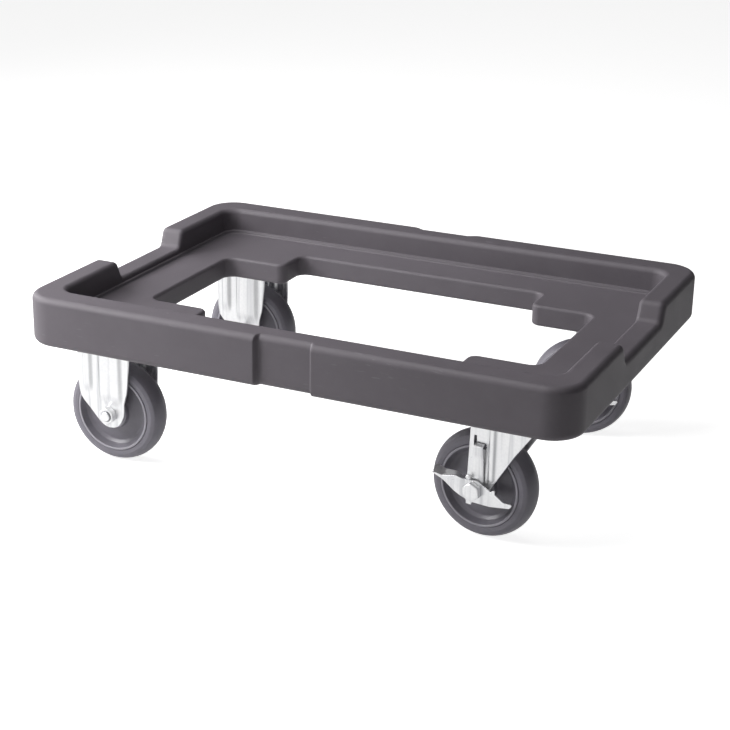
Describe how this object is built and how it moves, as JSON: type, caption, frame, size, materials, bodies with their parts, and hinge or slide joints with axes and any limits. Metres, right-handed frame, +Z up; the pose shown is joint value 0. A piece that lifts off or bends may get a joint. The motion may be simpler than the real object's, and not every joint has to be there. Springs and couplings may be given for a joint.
{
  "type": "low platform dolly",
  "caption": "Low moulded-plastic dolly: an open frame with a raised, notched rim to hold a box, on rigid and braked swivel casters with solid grey wheels.",
  "frame": {"origin": "on the floor under the middle of the deck", "axes": "+Z up; X along the long side with the swivel casters at +X; Y across, front at -Y"},
  "size_m": [0.69, 0.49, 0.218],
  "materials": {
    "frame_plastic": "fine matt moulded polyethylene",
    "core_plastic": "satin moulded polypropylene",
    "tyre_rubber": "satin non-marking rubber",
    "zinc_steel": "bright zinc-plated pressed steel",
    "bearing_steel": "ground steel, greased",
    "seal_plastic": "moulded black nylon",
    "insert_brass": "turned and knurled"
  },
  "bodies": {
    "frame": {"deck_frame": "frame_plastic", "threaded_inserts": "insert_brass", "mount_bolts": "zinc_steel", "mount_washers": "zinc_steel", "rigid_fork_fl": "zinc_steel", "axle_bolt_fl": "zinc_steel", "axle_nut_fl": "zinc_steel", "axle_tube_fl": "zinc_steel", "hub_washers_fl": "zinc_steel", "rigid_fork_rl": "zinc_steel", "axle_bolt_rl": "zinc_steel", "axle_nut_rl": "zinc_steel", "axle_tube_rl": "zinc_steel", "hub_washers_rl": "zinc_steel", "swivel_plate_fr": "zinc_steel", "kingpin_fr": "zinc_steel", "race_cap_fr": "zinc_steel", "swivel_plate_rr": "zinc_steel", "kingpin_rr": "zinc_steel", "race_cap_rr": "zinc_steel"},
    "wheel_fl": {"wheel_rollers_fl": "bearing_steel", "wheel_core_fl": "core_plastic", "tyre_fl": "tyre_rubber"},
    "wheel_rl": {"wheel_rollers_rl": "bearing_steel", "wheel_core_rl": "core_plastic", "tyre_rl": "tyre_rubber"},
    "swivel_fr": {"swivel_fork_fr": "zinc_steel", "upper_balls_fr": "bearing_steel", "lower_balls_fr": "bearing_steel", "dust_ring_fr": "seal_plastic", "axle_bolt_fr": "zinc_steel", "axle_nut_fr": "zinc_steel", "axle_tube_fr": "zinc_steel", "hub_washers_fr": "zinc_steel"},
    "wheel_fr": {"wheel_rollers_fr": "bearing_steel", "wheel_core_fr": "core_plastic", "tyre_fr": "tyre_rubber"},
    "pedal_fr": {"brake_pedal_fr": "zinc_steel"},
    "strap_fr": {"brake_strap_fr": "zinc_steel"},
    "swivel_rr": {"swivel_fork_rr": "zinc_steel", "upper_balls_rr": "bearing_steel", "lower_balls_rr": "bearing_steel", "dust_ring_rr": "seal_plastic", "axle_bolt_rr": "zinc_steel", "axle_nut_rr": "zinc_steel", "axle_tube_rr": "zinc_steel", "hub_washers_rr": "zinc_steel"},
    "wheel_rr": {"wheel_rollers_rr": "bearing_steel", "wheel_core_rr": "core_plastic", "tyre_rr": "tyre_rubber"},
    "pedal_rr": {"brake_pedal_rr": "zinc_steel"},
    "strap_rr": {"brake_strap_rr": "zinc_steel"}
  },
  "joints": [
    {"name": "wheel_fl_spin", "type": "hinge", "parent": "frame", "child": "wheel_fl", "pos_m": [-0.257, -0.172, 0.0635], "axis": [0, 1, 0], "continuous": true},
    {"name": "wheel_rl_spin", "type": "hinge", "parent": "frame", "child": "wheel_rl", "pos_m": [-0.257, 0.172, 0.0635], "axis": [0, 1, 0], "continuous": true},
    {"name": "swivel_fr_turn", "type": "hinge", "parent": "frame", "child": "swivel_fr", "pos_m": [0.257, -0.172, 0.145], "axis": [0, 0, 1], "continuous": true},
    {"name": "wheel_fr_spin", "type": "hinge", "parent": "swivel_fr", "child": "wheel_fr", "pos_m": [0.22226, -0.16773, 0.0635], "axis": [0.1219, 0.9925, 0], "continuous": true},
    {"name": "pedal_fr_press", "type": "hinge", "parent": "swivel_fr", "child": "pedal_fr", "pos_m": [0.22226, -0.16773, 0.0635], "axis": [-0.1219, -0.9925, 0], "range_deg": [0, 28]},
    {"name": "strap_fr_swing", "type": "hinge", "parent": "swivel_fr", "child": "strap_fr", "pos_m": [0.21924, -0.1923, 0.0635], "axis": [-0.9925, 0.1219, 0], "range_deg": [0, 3]},
    {"name": "swivel_rr_turn", "type": "hinge", "parent": "frame", "child": "swivel_rr", "pos_m": [0.257, 0.172, 0.145], "axis": [0, 0, 1], "continuous": true},
    {"name": "wheel_rr_spin", "type": "hinge", "parent": "swivel_rr", "child": "wheel_rr", "pos_m": [0.22304, 0.16353, 0.0635], "axis": [-0.2419, 0.9703, 0], "continuous": true},
    {"name": "pedal_rr_press", "type": "hinge", "parent": "swivel_rr", "child": "pedal_rr", "pos_m": [0.22304, 0.16353, 0.0635], "axis": [0.2419, -0.9703, 0], "range_deg": [0, 28]},
    {"name": "strap_rr_swing", "type": "hinge", "parent": "swivel_rr", "child": "strap_rr", "pos_m": [0.22903, 0.13952, 0.0635], "axis": [-0.9703, -0.2419, 0], "range_deg": [0, 3]}
  ],
  "couplings": [
    {"joint": "strap_fr_swing", "follows": "pedal_fr_press", "ratio": 0.107},
    {"joint": "strap_rr_swing", "follows": "pedal_rr_press", "ratio": 0.107}
  ]
}
